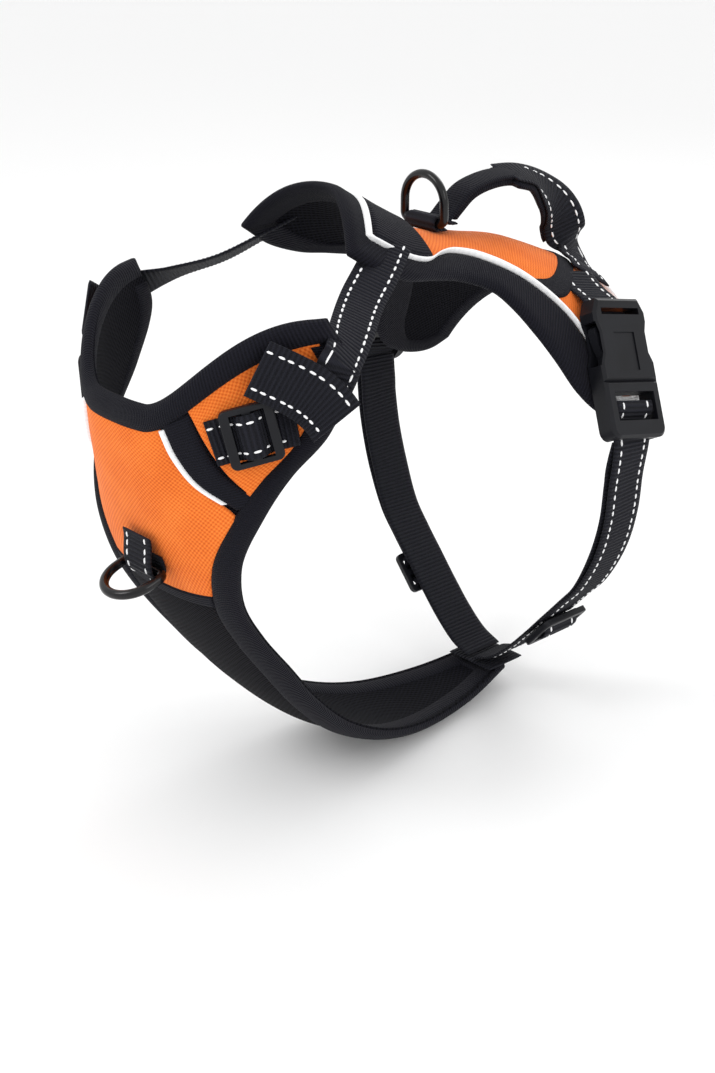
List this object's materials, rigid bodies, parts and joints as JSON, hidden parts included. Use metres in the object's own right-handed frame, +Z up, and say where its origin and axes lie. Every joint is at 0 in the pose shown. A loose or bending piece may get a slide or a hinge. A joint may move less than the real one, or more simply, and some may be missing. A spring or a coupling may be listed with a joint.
{
  "type": "no pull dog harness",
  "caption": "Padded dog harness with a chest bib, back pad, grab handle, front and back leash rings, side-release buckles and strap adjusters, in its worn shape",
  "frame": {"origin": "middle of the girth opening, where the dog's chest passes through", "axes": "+X the dog's left, +Y towards its tail, +Z up"},
  "size_m": [0.1964, 0.3087, 0.2883],
  "materials": {
    "orange_cloth": "woven orange polyester, dull",
    "reflective_piping": "smooth white reflective tape",
    "mesh_lining": "soft black padded air mesh",
    "open_mesh": "black open mesh",
    "knit_binding": "black ribbed knit binding",
    "webbing": "black ribbed webbing with white dashed thread",
    "buckle_plastic": "fine-textured black nylon",
    "coated_ring": "glossy black coated steel"
  },
  "bodies": {
    "harness": {"armhole_binding_left": "knit_binding", "armhole_binding_right": "knit_binding", "back_cover": "orange_cloth", "back_pad": "mesh_lining", "back_piping_front": "reflective_piping", "back_piping_left": "reflective_piping", "back_piping_rear": "reflective_piping", "back_piping_right": "reflective_piping", "back_ring_loop": "webbing", "belly_hem": "knit_binding", "belly_panel": "open_mesh", "belly_sleeve": "webbing", "buckle_female_left": "buckle_plastic", "buckle_female_right": "buckle_plastic", "buckle_strap_left": "webbing", "buckle_strap_right": "webbing", "chest_band_left": "knit_binding", "chest_band_right": "knit_binding", "chest_cover": "orange_cloth", "chest_lining": "mesh_lining", "chest_piping_left": "reflective_piping", "chest_piping_right": "reflective_piping", "chest_strap_left": "webbing", "chest_strap_right": "webbing", "chest_wing_left": "orange_cloth", "chest_wing_right": "orange_cloth", "front_cross_band": "knit_binding", "front_ring_loop": "webbing", "girth_strap_left": "webbing", "girth_strap_outer_left": "webbing", "girth_strap_outer_right": "webbing", "girth_strap_right": "webbing", "handle_foot_front": "webbing", "handle_foot_rear": "webbing", "neck_binding": "knit_binding", "rear_cross_band": "webbing", "shoulder_keeper_left": "webbing", "shoulder_keeper_right": "webbing", "shoulder_strap_left": "webbing", "shoulder_strap_right": "webbing"},
    "front_ring": {"front_ring": "coated_ring"},
    "back_ring": {"back_ring": "coated_ring"},
    "handle": {"handle_lining": "mesh_lining", "handle_webbing": "webbing"},
    "buckle_male_left": {"buckle_male_left": "buckle_plastic", "girth_strap_end_left": "webbing"},
    "buckle_prong_front_left": {"buckle_prong_front_left": "buckle_plastic"},
    "buckle_prong_rear_left": {"buckle_prong_rear_left": "buckle_plastic"},
    "shoulder_adjuster_left": {"shoulder_adjuster_left": "buckle_plastic", "shoulder_adjuster_wrap_left": "webbing"},
    "girth_adjuster_left": {"girth_adjuster_left": "buckle_plastic", "girth_adjuster_wrap_left": "webbing"},
    "buckle_male_right": {"buckle_male_right": "buckle_plastic", "girth_strap_end_right": "webbing"},
    "buckle_prong_front_right": {"buckle_prong_front_right": "buckle_plastic"},
    "buckle_prong_rear_right": {"buckle_prong_rear_right": "buckle_plastic"},
    "shoulder_adjuster_right": {"shoulder_adjuster_right": "buckle_plastic", "shoulder_adjuster_wrap_right": "webbing"},
    "girth_adjuster_right": {"girth_adjuster_right": "buckle_plastic", "girth_adjuster_wrap_right": "webbing"}
  },
  "joints": [
    {"name": "front_ring_swing", "type": "hinge", "parent": "harness", "child": "front_ring", "pos_m": [0.004, -0.2522, 0.0178], "axis": [1, 0, 0], "range_deg": [-50, 50]},
    {"name": "back_ring_swing", "type": "hinge", "parent": "harness", "child": "back_ring", "pos_m": [0, -0.0805, 0.1456], "axis": [1, 0, 0], "range_deg": [-40, 60]},
    {"name": "handle_swing", "type": "hinge", "parent": "harness", "child": "handle", "pos_m": [0, -0.064, 0.15], "axis": [0.1264, 0.9504, -0.2843], "range_deg": [-25, 25], "deforming": ["handle_foot_front", "handle_foot_rear"]},
    {"name": "buckle_slide_left", "type": "slide", "parent": "harness", "child": "buckle_male_left", "axis": [0.4501, -0.2001, -0.8703], "range_m": [0, 0.028]},
    {"name": "prong_rear_left", "type": "hinge", "parent": "buckle_male_left", "child": "buckle_prong_rear_left", "pos_m": [0.08139, -0.01063, 0.0691], "axis": [0.8882, 0, 0.4594], "range_deg": [0, 13]},
    {"name": "prong_front_left", "type": "hinge", "parent": "buckle_male_left", "child": "buckle_prong_front_left", "pos_m": [0.07928, -0.03317, 0.07318], "axis": [-0.8882, 0, -0.4594], "range_deg": [0, 13]},
    {"name": "shoulder_adjust_left", "type": "slide", "parent": "harness", "child": "shoulder_adjuster_left", "axis": [0.5487, 0.8041, 0.2288], "range_m": [-0.003, 0.002]},
    {"name": "girth_adjust_left", "type": "slide", "parent": "harness", "child": "girth_adjuster_left", "axis": [-0.6518, 0, -0.7584], "range_m": [-0.012, 0.012]},
    {"name": "buckle_slide_right", "type": "slide", "parent": "harness", "child": "buckle_male_right", "axis": [-0.4501, -0.2001, -0.8703], "range_m": [0, 0.028]},
    {"name": "prong_rear_right", "type": "hinge", "parent": "buckle_male_right", "child": "buckle_prong_rear_right", "pos_m": [-0.08139, -0.01063, 0.0691], "axis": [0.8882, 0, -0.4594], "range_deg": [0, 13]},
    {"name": "prong_front_right", "type": "hinge", "parent": "buckle_male_right", "child": "buckle_prong_front_right", "pos_m": [-0.07928, -0.03317, 0.07318], "axis": [-0.8882, 0, 0.4594], "range_deg": [0, 13]},
    {"name": "shoulder_adjust_right", "type": "slide", "parent": "harness", "child": "shoulder_adjuster_right", "axis": [-0.5487, 0.8041, 0.2288], "range_m": [-0.003, 0.002]},
    {"name": "girth_adjust_right", "type": "slide", "parent": "harness", "child": "girth_adjuster_right", "axis": [0.6518, 0, -0.7584], "range_m": [-0.012, 0.012]}
  ],
  "couplings": [
    {"joint": "prong_rear_left", "follows": "buckle_slide_left", "rad_per_m": 7.5},
    {"joint": "prong_front_left", "follows": "buckle_slide_left", "rad_per_m": 7.5},
    {"joint": "prong_rear_right", "follows": "buckle_slide_right", "rad_per_m": 7.5},
    {"joint": "prong_front_right", "follows": "buckle_slide_right", "rad_per_m": 7.5}
  ]
}
